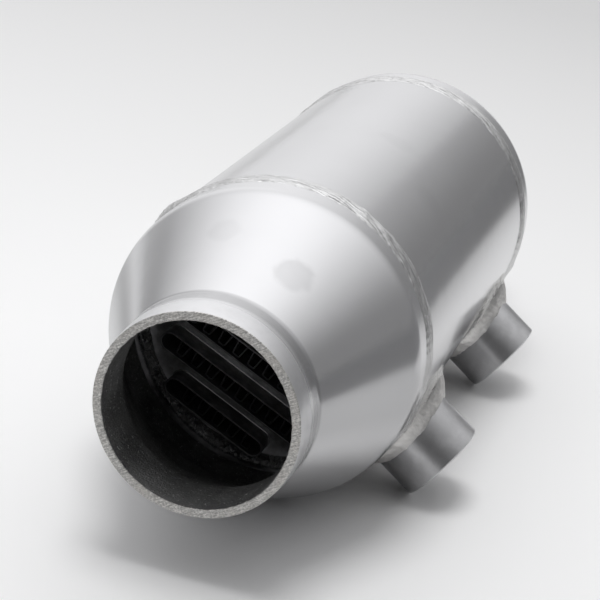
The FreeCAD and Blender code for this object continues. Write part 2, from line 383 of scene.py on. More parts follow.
def bead_finish(name, colour, soot=0.0, strokes=None):
    """Weld metal, bright with dull oxide, and either drawn out in strokes, with painted highlights and shade along
    them, or crumbly, with painted glints on the crumbs.
    """
    finish = Finish(name)
    fine = finish.grain(900.0, detail=4.0, rough=0.6)
    oxide = finish.grain(170.0, detail=4.0, rough=0.65).between(0.42, 0.72)
    base = finish.shade(oxide * 0.55, colour, 1.0 - 0.75 * soot, 0.78 - 0.6 * soot)
    roughness = 0.11 + oxide * 0.12 + fine * 0.04 + 0.2 * soot
    if strokes:
        lines = strokes(finish)
        # painted highlight and shade: the strokes are real relief, and their troughs are painted darker and their
        # crests near white, as the light on them
        base = finish.blend(lines.between(0.34, 0.46), paint(colour, 0.60), base)
        base = finish.blend(lines.between(0.54, 0.66), base, paint(WHITE, 0.98))
        ground = finish.relief(lines, 0.7 * MM, 0.9)
    else:
        crumbs_and_painted_glints = finish.grain(520.0, detail=3.0, rough=0.7)
        # painted glints: the tops of the crumbs are painted in the full bright bead colour; the crumbs are also real
        # relief
        base = finish.blend(crumbs_and_painted_glints.between(0.55, 0.66), base, paint(colour))
        ground = finish.relief(crumbs_and_painted_glints, 1.6 * MM, 0.8)
    return finish.close(base, roughness, finish.relief(fine, 0.03 * MM, 0.5, ground))


def fillet_finish(name, colour):
    """A bung's weld: matt and pale by the bung, smoother and darker on its thin toe, with painted shade that makes it
    paler low down and darker towards the top.
    """
    finish = Finish(name)
    x, z = finish.axes("XZ")
    out = (x * x + z * z).math("SQRT")
    cloud = finish.grain(260.0, detail=3.0, rough=0.6)
    raised = (out + (cloud - 0.5) * 2.0 * MM).between(SHELL_R + 1.0 * MM, SHELL_R + 2.2 * MM)
    slanted = finish.stretched((1500.0, 240.0, 240.0), (0.0, math.radians(40.0), 0.0))
    streaks = finish.grain(detail=3.0, where=slanted)
    # painted light and shade by height: the weld is painted paler below -32 mm and darker above -14 mm
    pale = finish.shade(z.between(-32.0 * MM, -14.0 * MM), colour, 1.38, 0.92)
    base = finish.blend(raised, paint(colour, 0.74), pale)
    base = finish.blend(streaks.between(0.45, 0.7) * raised * 0.4, base, paint(colour, 1.45))
    roughness = 0.18 + raised * 0.26 + cloud * 0.06
    ground = finish.relief(cloud, 1.0 * MM, 0.6)
    return finish.close(base, roughness, finish.relief(streaks, 0.14 * MM, 0.6, ground))


def bung_finish(name, colour):
    """Turned aluminium left matt, with marks that run round the bung."""
    finish = Finish(name)
    lines = finish.point(finish.vector("DOT_PRODUCT", finish.place, OUTWARD, output=1) * 5200.0)
    where = finish.vector("ADD", finish.stretched((30.0, 30.0, 30.0)), lines)
    marks = finish.grain(detail=3.0, rough=0.7, where=where)
    bloom = finish.grain(160.0, detail=4.0, rough=0.6)
    base = finish.shade(bloom.between(0.35, 0.7), colour, 0.92, 1.08)
    return finish.close(base, 0.25 + marks * 0.05 + bloom * 0.06, finish.relief(marks, 0.012 * MM, 0.5))


def core_finish(name, colour, gloss):
    """Brazed sheet, dull and dark from the furnace, with flux bloom."""
    finish = Finish(name)
    bloom = finish.grain(130.0, detail=5.0, rough=0.65)
    fine = finish.grain(1500.0, detail=3.0)
    base = finish.shade(bloom.between(0.35, 0.75), colour, 0.75, 1.4)
    return finish.close(base, gloss + bloom * 0.15, finish.relief(fine, 0.1 * MM, 0.5), metallic=0.7)


# Mesh code

# Points round each turned piece
TANK_STEPS = 384
SHELL_STEPS = 320
BUNG_STEPS = 128
PLATE_STEPS = 256
PORT_STEPS = 64


def turns(steps):
    """Even turns round a ring, from 0 to just short of a full turn."""
    return [FULL_TURN * k / steps for k in range(steps)]


def around_barrel(radius, y, turn):
    """A point round the barrel's axis; turn 0 lies at the bottom."""
    return Vector((-radius * math.sin(turn), y, -radius * math.cos(turn)))


def ring(radius, y, steps):
    return [around_barrel(radius, y, turn) for turn in turns(steps)]


def skin(mesh, rows, closed=True, joined=False, finish=0):
    """Quads between rows of points. Each row closes on itself, and the last row joins the first if asked."""
    made = [[mesh.verts.new(point) for point in row] for row in rows]
    if joined:
        made.append(made[0])
    count = len(rows[0])
    last = count if closed else count - 1
    for index, (low, high) in enumerate(zip(made, made[1:])):
        number = finish[index] if isinstance(finish, list) else finish
        for k in range(last):
            n = (k + 1) % count
            face = mesh.faces.new((low[k], low[n], high[n], high[k]))
            face.material_index = number
            face.smooth = True


def arc(centre, radius, start, end, steps):
    """Section points (y, r) on a round; angles run from the outward radial direction towards +Y."""
    turn = [start + (end - start) * k / steps for k in range(steps + 1)]
    return [(centre[0] + radius * math.sin(a), centre[1] + radius * math.cos(a)) for a in turn]


def stretch(start, end, steps):
    """Section points between two points, without the last."""
    return [(start[0] + (end[0] - start[0]) * k / steps, start[1] + (end[1] - start[1]) * k / steps)
            for k in range(steps)]


def mesh_data(name, mesh, outward=True):
    """Turn built faces into mesh data, with their normals outward if asked."""
    if outward:
        bmesh.ops.recalc_face_normals(mesh, faces=mesh.faces)
    data = bpy.data.meshes.new(name)
    mesh.to_mesh(data)
    mesh.free()
    return data


def linked(name, data):
    """A new object in the scene."""
    item = bpy.data.objects.new(name, data)
    bpy.context.scene.collection.objects.link(item)
    return item


def loft_piece(name, rows, materials, nodes=(), sharp=35.0, finish=0):
    """A piece of the cooler from rows of points round a closed section."""
    mesh = bmesh.new()
    skin(mesh, rows, joined=True, finish=finish)
    return add_piece(name, mesh_data(name, mesh), materials, nodes, sharp)


def add_piece(name, data, materials, nodes=(), sharp=35.0):
    """A piece of the cooler that takes the place of the named solids, smooth up to the sharp angle in degrees."""
    data.shade_smooth()
    data.set_sharp_from_angle(angle=math.radians(sharp))
    for material in materials:
        data.materials.append(material)
    piece = linked(name, data)
    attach(piece, "root")
    if nodes:
        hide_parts(*nodes)


def to_end(point, end):
    """The same point at the given end of the barrel."""
    if end == "front":
        return point
    return Vector((point.x, OVERALL_LENGTH - point.y, point.z))


def rows_at_end(rows, end):
    return [[to_end(point, end) for point in row] for row in rows]


# End tanks

# Worn spots on the satin skins: middle, radius and weight
TANK_SPOTS = (((0.0139, 0.0331, 0.0364), 7.6 * MM, 0.42), ((-0.0116, 0.0423, 0.0414), 6.5 * MM, 0.12))
SHELL_SPOTS = (((0.0130, 0.1500, 0.0490), 8.0 * MM, 0.08), ((0.0324, 0.1253, 0.0391), 7.0 * MM, 0.08))
# The darker band in a tank's throat, from the end of the neck's straight part
THROAT_BEFORE = 5.5 * MM
THROAT_AFTER = 2.4 * MM
# Finishes of a tank's strips, in the order of its materials
SATIN, BORE, SAWN, DRESSED = range(4)
LIP_STEPS = 7


def tank_side(sizes, inset, steps):
    """The tank's side in section from the neck to the band, moved inwards by the inset."""
    slope = sizes.cone_angle
    throat = arc((sizes.neck_straight, sizes.neck_radius + sizes.throat_round), sizes.throat_round + inset,
                 math.pi, math.pi - slope, steps)
    shoulder_y = TANK_LENGTH - band_length(sizes)
    shoulder = arc((shoulder_y, SHELL_R - sizes.shoulder_round), sizes.shoulder_round - inset, -slope, 0.0, steps)
    return throat + stretch(throat[-1], shoulder[0], 14)[1:] + shoulder


def band_length(sizes):
    """What the rounds and the cone leave for the straight band at the shell."""
    slope = sizes.cone_angle
    throat_end = sizes.neck_radius + sizes.throat_round * (1.0 - math.cos(slope))
    shoulder_start = SHELL_R - sizes.shoulder_round * (1.0 - math.cos(slope))
    run = (shoulder_start - throat_end) / math.tan(slope)
    rounds = (sizes.throat_round + sizes.shoulder_round) * math.sin(slope)
    return TANK_LENGTH - sizes.neck_straight - rounds - run


def tank_section(sizes):
    """Closed section of an end tank, and the finish of each strip of it."""
    lip = sizes.lip_round
    burr = 0.25 * MM
    neck_r = sizes.neck_radius
    inner_r = neck_r - sizes.wall
    taper = sizes.neck_taper
    outside = arc((lip, neck_r - taper - lip), lip, -QUARTER_TURN, 0.0, LIP_STEPS)[:-1]
    for y, _ in stretch((lip, 0.0), (sizes.neck_dressed, 0.0), 10):
        outside.append((y, neck_r - taper * (1.0 - (y - lip) / (sizes.neck_dressed - lip)) ** 2))
    dressed_end = len(outside)
    outside += stretch((sizes.neck_dressed, neck_r), (sizes.neck_straight, neck_r), 4)
    outside += tank_side(sizes, 0.0, 14)
    groove = (TANK_LENGTH - sizes.groove_leg, SHELL_R)
    outside += stretch(outside[-1], groove, 4)[1:] + [groove]
    outside += [(TANK_LENGTH, SHELL_R - sizes.groove_leg), (TANK_LENGTH, SHELL_R - sizes.wall)]
    inside = tank_side(sizes, sizes.wall, 10)[::-1]
    inside += stretch(inside[-1], (burr, inner_r), 8)[1:] + [(burr, inner_r)]
    face = stretch((0.0, inner_r + burr), outside[0], 3)
    strips = ((SAWN, LIP_STEPS), (DRESSED, dressed_end - LIP_STEPS), (SATIN, len(outside) - 1 - dressed_end),
              (BORE, len(inside)), (SAWN, len(face) + 1))
    return outside + inside + face, [finish for finish, count in strips for _ in range(count)]


def nicked(sizes, point):
    """A point of the tank, moved a little where the saw has left the inner edge of the mouth uneven."""
    radius = math.hypot(point.x, point.z)
    near = 1.0 - min(1.0, math.hypot(point.y, radius - sizes.neck_radius + sizes.wall) / (0.6 * MM))
    if near <= 0.0:
        return point
    wobble = noise.noise(point * 900.0) + 0.6 * noise.noise(point * 2400.0)
    grown = 1.0 + 0.22 * MM * near * wobble / radius
    return Vector((point.x * grown, point.y, point.z * grown))


def build_tank(sizes, end, materials):
    section, finish = tank_section(sizes)
    rows = [[nicked(sizes, point) for point in ring(r, y, TANK_STEPS)] for y, r in section]
    rows = rows_at_end(rows, end)
    loft_piece(end + "_tank_spun", rows, materials, [end + "_end_tank"], finish=finish)


class COOLER_OT_end_tanks(bpy.types.Operator):
    """Turn the two spun end tanks with their sawn hose necks"""

    bl_idname = "cooler.end_tanks"
    bl_label = "End tanks"

    def execute(self, context):
        sizes = context.scene.cooler_sizes
        looks = context.scene.cooler_finishes
        throat = (sizes.neck_straight - THROAT_BEFORE, sizes.neck_straight + THROAT_AFTER)
        satin = satin_finish("tank_satin", looks.satin, looks.gloss, TANK_SPOTS, throat)
        bore = bore_finish("tank_bore", looks.bore)
        sawn = sawn_finish("neck_sawn", looks.sawn)
        dressed = dressed_finish("neck_dressed", looks.dressed)
        for end in ENDS:
            build_tank(sizes, end, [satin, bore, sawn, dressed])
        return {"FINISHED"}


# Barrel shell

def shell_rows(sizes):
    start = shell_low.y
    end = shell_high.y
    leg = sizes.groove_leg
    inner_r = SHELL_R - sizes.wall
    section = [(start, inner_r), (start, SHELL_R - leg)]
    section += stretch((start + leg, SHELL_R), (end - leg, SHELL_R), 12) + [(end - leg, SHELL_R)]
    section += [(end, SHELL_R - leg), (end, inner_r)]
    return [ring(r, y, SHELL_STEPS) for y, r in section]


def port_cutter(sizes, end):
    """A round bar that cuts the water port through the shell's wall."""
    mesh = bmesh.new()
    reaches = (SHELL_R - 3.0 * sizes.wall, SHELL_R + sizes.wall)
    skin(mesh, [[bung_point(BUNG_Y[end], sizes.port_radius, u, a) for a in turns(PORT_STEPS)] for u in reaches])
    for edges in (mesh.verts[:PORT_STEPS], mesh.verts[PORT_STEPS:]):
        mesh.faces.new(edges)
    return linked("port_cutter", mesh_data("port_cutter", mesh))


class COOLER_OT_barrel_shell(bpy.types.Operator):
    """Roll the barrel shell and cut its two water ports"""

    bl_idname = "cooler.barrel_shell"
    bl_label = "Barrel shell"

    def execute(self, context):
        sizes = context.scene.cooler_sizes
        looks = context.scene.cooler_finishes
        mesh = bmesh.new()
        rows = shell_rows(sizes)
        skin(mesh, rows, joined=True)
        blank = linked("shell_blank", mesh_data("shell_blank", mesh))
        cutters = [port_cutter(sizes, end) for end in ENDS]
        for cutter in cutters:
            cut = blank.modifiers.new("water_port", "BOOLEAN")
            cut.operation = "DIFFERENCE"
            cut.solver = "EXACT"
            cut.object = cutter
        context.view_layer.update()
        solid = blank.evaluated_get(context.evaluated_depsgraph_get())
        cut_mesh = bpy.data.meshes.new_from_object(solid)
        for spare in [blank] + cutters:
            bpy.data.objects.remove(spare)
        if len(cut_mesh.polygons) < len(rows[0]):
            raise RuntimeError("the water ports could not be cut")
        satin = satin_finish("shell_satin", looks.rolled, looks.shell_gloss, SHELL_SPOTS)
        cut_mesh.name = "shell_rolled"
        add_piece("shell_rolled", cut_mesh, [satin], ["barrel_shell"])
        return {"FINISHED"}


# Outer seam welds

# For each end: the seed, where the crest leans from -1 (tank) to 1 (shell), and the lumps where the weld was started
# or mended, each with its share of the ring, its width as such a share, and its height
SEAMS = {
    "front": (11, 0.45, ((0.356, 0.026, 0.75 * MM), (0.548, 0.016, 0.30 * MM), (0.572, 0.008, 0.22 * MM))),
    "rear": (12, -0.45, ((0.343, 0.015, 0.30 * MM), (0.790, 0.012, 0.35 * MM))),
}


def ring_wander(seed, turn, waves):
    """Smooth noise between -1 and 1 that closes on itself round a ring."""
    return noise.noise(Vector((waves * math.cos(turn), waves * math.sin(turn), seed * 5.17)))


def wavy(seed, turn, base, *parts):
    """A base value with parts that wander round a ring, each given by its amount and waves."""
    return base + sum(amount * ring_wander(seed + k, turn, waves) for k, (amount, waves) in enumerate(parts))


class Ripples:
    """The uneven ripples of one bead that closes on itself."""

    def __init__(self, seed, around, pitch, spread=0.7):
        chance = random.Random(seed)
        count = round(around / pitch)
        steps = [1.0 + spread * (chance.random() - 0.5) for _ in range(count)]
        total = sum(steps)
        self.places = [0.0]
        for step in steps:
            self.places.append(self.places[-1] + step / total)
        self.heights = [0.55 + 0.45 * chance.random() for _ in range(count)]

    def height(self, turn):
        """Height of the ripple at this share of the ring: a slow rise and a quick fall."""
        turn = turn % 1.0
        index = min(bisect.bisect_right(self.places, turn), len(self.heights)) - 1
        t = (turn - self.places[index]) / (self.places[index + 1] - self.places[index])
        return math.sin(math.pi * t ** 1.5) * self.heights[index]


def seam_crown(v, lean):
    """Height across a seam bead from its tank edge at -1 to its shell edge at 1, with its crest at the lean."""
    share_up = (v + 1.0) / (lean + 1.0) if v < lean else (1.0 - v) / (1.0 - lean)
    return math.sin(QUARTER_TURN * min(1.0, max(0.0, share_up))) ** 0.75


def seam_lump(seed, turn, places):
    """Extra height where the weld was started or mended, in metres."""
    extra = 0.0
    for place, width, height in places:
        near = smooth(1.0 - abs(turn / FULL_TURN - place) / width)
        extra += height * near * wavy(seed, turn, 1.0, (0.5, 40.0))
    return extra


def seam_rows(sizes, seed, lean, lumps):
    """Rows of points across a seam bead, each one a ring round the barrel."""
    steps = 1600
    across = 24
    half = sizes.seam_width / 2.0
    crest = CREST_R - SHELL_R
    around = FULL_TURN * SHELL_R
    ripples = Ripples(seed, around, sizes.seam_ripple)
    rows = [[] for _ in range(across + 1)]
    for k, turn in enumerate(turns(steps)):
        middle = half * wavy(seed, turn, 0.0, (0.08, 7.0), (0.06, 30.0))
        width = half * wavy(seed + 2, turn, 0.88, (0.10, 9.0), (0.07, 38.0))
        swell = wavy(seed + 4, turn, 0.78, (0.24, 6.0))
        crest_place = wavy(seed + 5, turn, lean, (0.30, 9.0))
        extra = seam_lump(seed + 6, turn, lumps)
        for j in range(across + 1):
            v = -1.0 + 2.0 * j / across
            ripple = 0.04 * ripples.height(k / steps - 2.4 * width * v / around)
            crown = seam_crown(v, crest_place)
            crinkle = 0.45 * noise.noise(Vector((turn * 55.0, v * 2.2, seed)))
            rise = crest * min(1.0, crown * swell + ripple * (1.0 - v ** 4)) + extra * crown * (1.0 + crinkle)
            y = TANK_LENGTH + middle + v * width * (1.0 + ripple)
            rows[j].append(around_barrel(SHELL_R - SINK + rise, y, turn))
    return rows


def build_seam(sizes, end, material):
    rows = seam_rows(sizes, *SEAMS[end])
    leg = sizes.groove_leg
    for radius, y in ((SHELL_R - SINK, TANK_LENGTH + leg), (SHELL_R - leg, TANK_LENGTH),
                      (SHELL_R - SINK, TANK_LENGTH - leg)):
        rows.append(ring(radius, y, len(rows[0])))
    loft_piece(end + "_seam_bead", rows_at_end(rows, end), [material], [end + "_seam_weld"], 60.0)


class COOLER_OT_seam_welds(bpy.types.Operator):
    """Lay the rippled weld beads between the tanks and the shell"""

    bl_idname = "cooler.seam_welds"
    bl_label = "Seam welds"

    def execute(self, context):
        looks = context.scene.cooler_finishes
        bead = bead_finish("seam_bead_metal", looks.bead, strokes=feathers)
        for end in ENDS:
            build_seam(context.scene.cooler_sizes, end, bead)
        return {"FINISHED"}


# Water bungs and their welds

THREAD_MOUTH = 0.15 * MM  # how much wider than the thread its countersunk mouth is, in radius


def bung_point(centre_y, radius, reach, turn):
    """A point at a radius round a bung's axis and at a reach from the barrel's axis."""
    place = OUTWARD * reach + ALONG * (radius * math.cos(turn)) + SIDEWAYS * (radius * math.sin(turn))
    return place + Vector((0.0, centre_y, 0.0))


def saddle(radius, turn):
    """How far out the shell's outside lies at a radius and turn round a bung's axis."""
    return math.sqrt(SHELL_R ** 2 - (radius * math.sin(turn)) ** 2)


def smooth(x):
    """A soft step from 0 to 1."""
    x = min(1.0, max(0.0, x))
    return x * x * (3.0 - 2.0 * x)


def thread_shape(t):
    """Depth of a pipe thread over one pitch, from 0 at the crest to 1 at the root, with rounded tops."""
    return smooth((0.86 - abs(2.0 * t - 1.0)) / 0.72)


def thread_radius(sizes, depth, turn):
    """Radius of the threaded bore at a depth below the bung's mouth."""
    cut = sizes.thread_outer - sizes.thread_inner
    t = (depth / sizes.thread_pitch + turn / FULL_TURN) % 1.0
    left = (sizes.thread_depth - depth) / sizes.thread_pitch
    fade = min(1.0, max(0.0, left - 0.4))
    radius = sizes.thread_inner + cut * thread_shape(t) * fade
    return max(radius, sizes.thread_outer + THREAD_MOUTH - depth)


def bung_rows(sizes, end):
    """Rows of points up a bung's side, over its end, down the thread and the port and under its foot, with finishes."""
    tip = SHELL_R + sizes.bung_reach
    bevel = 0.5 * MM
    thread_foot = tip - sizes.thread_depth
    port_r = sizes.port_radius
    mouth_r = sizes.thread_outer + THREAD_MOUTH
    rows = []

    def add(place):
        rows.append([bung_point(BUNG_Y[end], *place(a), a) for a in turns(BUNG_STEPS)])

    for k in range(9):
        add(lambda a: (BUNG_R, saddle(BUNG_R, a) + (tip - bevel - saddle(BUNG_R, a)) * k / 8.0))
    side_rows = len(rows)
    for k in range(1, 4):
        add(lambda a: (BUNG_R - bevel * k / 3.0, tip - bevel + bevel * k / 3.0))
    for k in range(1, 4):
        add(lambda a: (BUNG_R - bevel + (mouth_r - BUNG_R + bevel) * k / 3.0, tip))
    thread_rows = round(sizes.thread_depth / sizes.thread_pitch * 12.0)
    for k in range(1, thread_rows + 1):
        depth = sizes.thread_depth * k / thread_rows
        add(lambda a: (thread_radius(sizes, depth, a), tip - depth))
    for k in range(4):
        add(lambda a: (port_r, thread_foot + (saddle(port_r, a) - thread_foot) * k / 3.0))
    for k in range(1, 4):
        r = port_r + (BUNG_R - port_r) * k / 4.0
        add(lambda a: (r, saddle(r, a)))
    return rows, [0] * side_rows + [1] * (len(rows) - side_rows)


def build_bung(sizes, end, materials):
    rows, finish = bung_rows(sizes, end)
    loft_piece(end + "_bung_turned", rows, materials, [end + "_water_bung"], 40.0, finish)


class COOLER_OT_water_bungs(bpy.types.Operator):
    """Turn the two water bungs and cut their pipe threads"""

    bl_idname = "cooler.water_bungs"
    bl_label = "Water bungs"

    def execute(self, context):
        looks = context.scene.cooler_finishes
        side = bung_finish("bung_side", looks.bung)
        cut = bung_finish("bung_cut", [min(1.0, c * 1.25) for c in looks.bung])
        for end in ENDS:
            build_bung(context.scene.cooler_sizes, end, [side, cut])
        return {"FINISHED"}


def bung_bead_rows(sizes, end, seed):
    """Rows of points across a bung's fillet weld, from its side to the shell."""
    steps = 960
    across = 20
    around = FULL_TURN * (BUNG_R + sizes.bung_shell_leg / 2.0)
    ripples = Ripples(seed, around, 3.0 * MM, 1.1)
    rows = [[] for _ in range(across + 1)]
    for k, turn in enumerate(turns(steps)):
        side_leg = sizes.bung_side_leg * wavy(seed, turn, 0.92, (0.16, 2.2), (0.05, 9.0))
        shell_leg = sizes.bung_shell_leg * wavy(seed + 2, turn, 0.98, (0.12, 2.0), (0.04, 8.0))
        drop = math.asin(BUNG_R * math.sin(turn) / SHELL_R)
        belly = 0.30 * MM * (1.0 + ring_wander(seed + 4, turn, 3.0))
        for j in range(across + 1):
            v = j / across
            lump = ripples.height(k / steps - 0.9 * shell_leg * v / around)
            low_r = BUNG_R + (shell_leg + 0.10 * MM * (lump - 0.5)) * math.cos(drop)
            low = Vector((low_r, saddle(low_r, turn) - SINK))
            top = Vector((BUNG_R - SINK, saddle(BUNG_R, turn) + side_leg + 0.08 * MM * (lump - 0.5)))
            slope = (low - top).normalized()
            hump = math.sin(math.pi * min(1.0, v / 0.70)) ** 0.7 * (belly + 0.05 * MM * (lump - 0.4))
            toe = math.sin(math.pi * max(0.0, 2.0 * v - 1.0)) * 0.22 * MM
            point = top.lerp(low, v) + Vector((-slope.y, slope.x)) * (hump - toe)
            rows[j].append(bung_point(BUNG_Y[end], point.x, point.y, turn))
    return rows


def build_bung_bead(sizes, end, material, seed):
    rows = bung_bead_rows(sizes, end, seed)
    rows.append([bung_point(BUNG_Y[end], BUNG_R - SINK, saddle(BUNG_R, a) - SINK, a) for a in turns(len(rows[0]))])
    loft_piece(end + "_bung_bead", rows, [material], [end + "_bung_weld"], 60.0)


class COOLER_OT_bung_welds(bpy.types.Operator):
    """Lay the fillet welds round the feet of the water bungs"""

    bl_idname = "cooler.bung_welds"
    bl_label = "Bung welds"

    def execute(self, context):
        looks = context.scene.cooler_finishes
        bead = fillet_finish("bung_bead_metal", looks.fillet)
        for seed, end in enumerate(ENDS, 41):
            build_bung_bead(context.scene.cooler_sizes, end, bead, seed)
        return {"FINISHED"}


# Core

TUBE_BREAK = 0.12 * MM  # broken edge at a tube's end
INSIDE_STRIP = 4  # the strip of a tube's section that is its inside
PLATE_BREAK = 0.12 * MM  # broken edges of a header plate
FIN_END = 6.0 * MM  # length of a fin's first and last strip
# A fold of the corrugated fin: the share of its crest's flat, and how far below the crest it lies there
FOLD = ((-0.10, 0.24 * MM), (0.0, 0.08 * MM), (0.18, 0.0), (0.82, 0.0), (1.0, 0.08 * MM), (1.10, 0.24 * MM))


def core_place(sizes, across, y, up):
    """A point of the core, from its place across the tubes, along the barrel and up the stack."""
    a = sizes.core_angle
    return Vector((across * math.cos(a) + up * math.sin(a), y, -across * math.sin(a) + up * math.cos(a)))


def tube_width(sizes, number):
    """Stock width of a tube, read from its solid: the outer tubes are cut from narrower strip."""
    low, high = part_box("air_tube_%d" % number)
    straight = (high.x - low.x - sizes.tube_thickness) / math.cos(sizes.core_angle)
    return round(straight, 4) + sizes.tube_thickness


def tube_outline(width, thickness, side_steps=10):
    """Round-ended outline of a flat tube, as (across, up)."""
    round_steps = 12
    r = thickness / 2.0
    side = width / 2.0 - r
    points = []
    for way in (1.0, -1.0):
        for k in range(round_steps):
            a = math.pi * k / round_steps - QUARTER_TURN
            points.append((way * (side + r * math.cos(a)), way * r * math.sin(a)))
        points += [(way * (side - 2.0 * side * k / side_steps), way * r) for k in range(side_steps)]
    return points


def stack_height(sizes, number):
    return (number - MIDDLE_TUBE) * sizes.tube_pitch


def build_tube(sizes, number, materials):
    low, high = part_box("air_tube_%d" % number)
    up = stack_height(sizes, number)
    width = tube_width(sizes, number)
    wall = sizes.tube_wall
    stations = [(low.y + TUBE_BREAK, 0.0), (high.y - TUBE_BREAK, 0.0), (high.y, TUBE_BREAK),
                (high.y, wall - TUBE_BREAK), (high.y - TUBE_BREAK, wall), (low.y + TUBE_BREAK, wall),
                (low.y, wall - TUBE_BREAK), (low.y, TUBE_BREAK)]
    rows = []
    for y, inset in stations:
        outline = tube_outline(width - 2.0 * inset, sizes.tube_thickness - 2.0 * inset)
        rows.append([core_place(sizes, x, y, up + z) for x, z in outline])
    finish = [int(index == INSIDE_STRIP) for index in range(len(rows))]
    loft_piece("flat_tube_%d" % number, rows, materials, ["air_tube_%d" % number], 50.0, finish)


class COOLER_OT_air_tubes(bpy.types.Operator):
    """Form the flat charge-air tubes of the core"""

    bl_idname = "cooler.air_tubes"
    bl_label = "Charge-air tubes"

    def execute(self, context):
        looks = context.scene.cooler_finishes
        # painted shade: the outsides of the tubes are painted darker than the plates
        brazed = core_finish("tube_brazed_painted_shade", [0.7 * c for c in looks.core], 0.34)
        # painted shade: the insides of the tubes are painted darker
        inside = core_finish("tube_inside_painted_shade", [0.3 * c for c in looks.core], 0.45)
        for number in TUBE_NUMBERS:
            build_tube(context.scene.cooler_sizes, number, [brazed, inside])
        return {"FINISHED"}


def fin_line(sizes, width, crest):
    """Middle line of the corrugated fin in section, with rounded folds."""
    pitch = sizes.fin_pitch
    flat = sizes.fin_crest
    walls = int((width - sizes.tube_thickness - flat) / pitch)
    start = -0.5 * (walls * pitch + flat)
    return [(start + wall * pitch + along * flat, (-1.0) ** wall * (crest - drop))
            for wall in range(walls + 1) for along, drop in FOLD]


def side_points(points, distance):
    """The line moved sideways by a distance."""
    moved = []
    for k, (x, z) in enumerate(points):
        before = points[max(0, k - 1)]
        after = points[min(len(points) - 1, k + 1)]
        span = math.hypot(after[0] - before[0], after[1] - before[1])
        moved.append((x - distance * (after[1] - before[1]) / span, z + distance * (after[0] - before[0]) / span))
    return moved


def build_fin(sizes, number, materials):
    low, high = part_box("air_fin_%d" % number)
    half = sizes.fin_sheet / 2.0
    up = stack_height(sizes, number)
    middle = fin_line(sizes, tube_width(sizes, number), sizes.tube_thickness / 2.0 - sizes.tube_wall - half)
    outline = side_points(middle, half) + side_points(middle, -half)[::-1]
    mesh = bmesh.new()
    stations = [low.y, low.y + FIN_END, high.y - FIN_END, high.y]
    skin(mesh, [[core_place(sizes, x, y, up + z) for x, z in outline] for y in stations])
    mesh.verts.ensure_lookup_table()
    for start in (0, 3 * len(outline)):
        for k in range(len(middle) - 1):
            other = len(outline) - 1 - k
            edge = mesh.faces.new([mesh.verts[start + i] for i in (k, k + 1, other - 1, other)])
            edge.material_index = 1
    name = "corrugated_fin_%d" % number
    add_piece(name, mesh_data(name, mesh), materials, ["air_fin_%d" % number], 50.0)


class COOLER_OT_air_fins(bpy.types.Operator):
    """Fold the corrugated fins inside the flat tubes"""

    bl_idname = "cooler.air_fins"
    bl_label = "Air fins"

    def execute(self, context):
        looks = context.scene.cooler_finishes
        # painted shade: the fins are painted dark, and their end edges darker still
        folds = core_finish("fin_folds_painted_shade", looks.fin, 0.42)
        edges = core_finish("fin_edges_painted_shade", [0.5 * c for c in looks.fin], 0.42)
        for number in TUBE_NUMBERS:
            build_fin(context.scene.cooler_sizes, number, [folds, edges])
        return {"FINISHED"}


def outline_spline(curve, points):
    """Add a closed outline of (x, z) points to a flat curve."""
    spline = curve.splines.new("POLY")
    spline.points.add(len(points) - 1)
    for point, (x, z) in zip(spline.points, points):
        point.co = (x, z, 0.0, 1.0)
    spline.use_cyclic_u = True


def build_header(sizes, end, material):
    """A plate with a slot for each tube, from a filled outline with a small edge break."""
    name = end + "_plate_slotted"
    curve = bpy.data.curves.new("plate_outline", "CURVE")
    curve.dimensions = "2D"
    curve.fill_mode = "BOTH"
    radius = header_high.z - PLATE_BREAK
    outline_spline(curve, [(radius * math.cos(turn), radius * math.sin(turn)) for turn in turns(PLATE_STEPS)])
    grow = 2.0 * (SLOT_CLEARANCE + PLATE_BREAK)
    for number in TUBE_NUMBERS:
        slot = tube_outline(tube_width(sizes, number) + grow, sizes.tube_thickness + grow)
        up = stack_height(sizes, number)
        points = [core_place(sizes, x, 0.0, up + z) for x, z in slot]
        outline_spline(curve, [(point.x, point.z) for point in points])
    curve.extrude = (header_high.y - header_low.y) / 2.0 - PLATE_BREAK
    curve.bevel_depth = PLATE_BREAK
    curve.bevel_resolution = 1
    blank = bpy.data.objects.new("plate_outline", curve)
    data = bpy.data.meshes.new_from_object(blank)
    bpy.data.objects.remove(blank)
    middle = to_end((header_low + header_high) / 2.0, end)
    data.transform(Matrix(((1, 0, 0, 0), (0, 0, -1, middle.y), (0, 1, 0, 0), (0, 0, 0, 1))))
    data.name = name
    data.materials.clear()
    add_piece(name, data, [material], [end + "_header_plate"])


def braze_rows(sizes, number, face_y, seed):
    """Rows of a small hollow fillet of braze round a tube's foot."""
    width = tube_width(sizes, number)
    up = stack_height(sizes, number)
    rows = []
    for k in range(6):
        turn = QUARTER_TURN * k / 5.0
        grow = 0.75 * MM * (1.0 - math.sin(turn)) - SINK
        back = 0.32 * MM * (1.0 - math.cos(turn)) - SINK
        row = []
        for x, z in tube_outline(width + 2.0 * grow, sizes.tube_thickness + 2.0 * grow, 40):
            waver = 1.0 + 0.30 * noise.noise(Vector((x / 0.004, z / 0.004, seed)))
            row.append(core_place(sizes, x, face_y - back * waver, up + z))
        rows.append(row)
    return rows


def build_brazing(sizes, end, material, seed):
    mesh = bmesh.new()
    for number in TUBE_NUMBERS:
        skin(mesh, rows_at_end(braze_rows(sizes, number, header_low.y, seed + 3.7 * number), end))
    name = end + "_tube_brazing"
    add_piece(name, mesh_data(name, mesh), [material], sharp=180.0)


